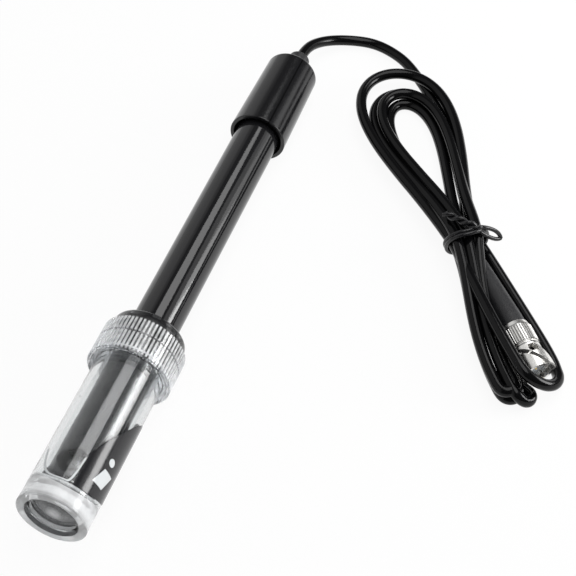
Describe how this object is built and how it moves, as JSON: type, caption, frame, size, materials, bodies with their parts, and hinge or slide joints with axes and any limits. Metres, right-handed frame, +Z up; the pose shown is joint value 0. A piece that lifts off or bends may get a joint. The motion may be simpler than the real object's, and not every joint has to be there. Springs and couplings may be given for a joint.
{
  "type": "ph electrode",
  "caption": "Slim black pH electrode in a clear storage bottle, with a thin cable tied in a hank and a bayonet plug",
  "frame": {"origin": "on the surface that the part lies on, halfway along the probe from the bottle's foot to the cable's exit, below its axis", "axes": "+Z up; +X from the storage bottle towards the cable exit, along the probe in plan; the hank lies on the -Y side"},
  "size_m": [0.1854, 0.1087, 0.0218],
  "materials": {
    "tube": "moulded, smooth, glossy black",
    "head": "moulded, glossy black",
    "membrane_glass": "thin blown glass",
    "inner_seal": "potting compound",
    "junction": "porous ceramic",
    "wire": "silver wire with a chloride coat",
    "core": "insulated core",
    "grommet": "flexible moulded plastic",
    "clear_body": "clear moulded plastic",
    "clear_cap": "clear moulded plastic",
    "seal_ring": "soft silicone",
    "label": "clear film printed with a dark field",
    "plug_metal": "bright nickel plate",
    "contact": "gold plate",
    "insulator": "fluoropolymer",
    "washer": "spring steel",
    "boot": "matte dark rubber",
    "cable": "smooth black jacket",
    "tie": "plastic-coated wire"
  },
  "bodies": {
    "electrode": {"body_tube": "tube", "glass_stem": "membrane_glass", "stem_seat": "inner_seal", "junction_pin": "junction", "top_seal": "inner_seal", "stem_stopper": "inner_seal", "inner_wire": "wire", "reference_wire": "wire", "head_cap": "head", "cable_grommet": "grommet", "signal_lead": "core", "reference_lead": "core", "twist_tie": "tie", "cable_lead": "cable", "cable_hank": "cable", "plug_boot": "boot", "crimp_ferrule": "plug_metal", "plug_body": "plug_metal", "plug_insulator": "insulator", "centre_pin": "contact", "plug_gasket": "seal_ring", "spring_washer": "washer", "thrust_washer": "washer"},
    "seal": {"cap_gasket": "seal_ring"},
    "cap": {"vial_cap": "clear_cap"},
    "bottle": {"vial": "clear_body", "vial_label": "label"},
    "nut": {"coupling_nut": "plug_metal"}
  },
  "joints": [
    {"name": "bottle_slide", "type": "slide", "parent": "electrode", "child": "seal", "axis": [-0.9995, 0, 0.0328], "range_m": [0, 0.055]},
    {"name": "cap_turn", "type": "hinge", "parent": "seal", "child": "cap", "pos_m": [-0.03234, 0, 0.01082], "axis": [0.9995, 0, -0.0328], "range_deg": [0, 720]},
    {"name": "vial_unscrew", "type": "slide", "parent": "seal", "child": "bottle", "axis": [-0.9995, 0, 0.0328], "range_m": [0, 0.006]},
    {"name": "nut_turn", "type": "hinge", "parent": "electrode", "child": "nut", "pos_m": [-0.0011, -0.0915, 0.0047], "axis": [0.7804, 0.6252, 0], "continuous": true}
  ],
  "couplings": [
    {"joint": "vial_unscrew", "follows": "cap_turn", "m_per_rad": 0.00047746}
  ]
}
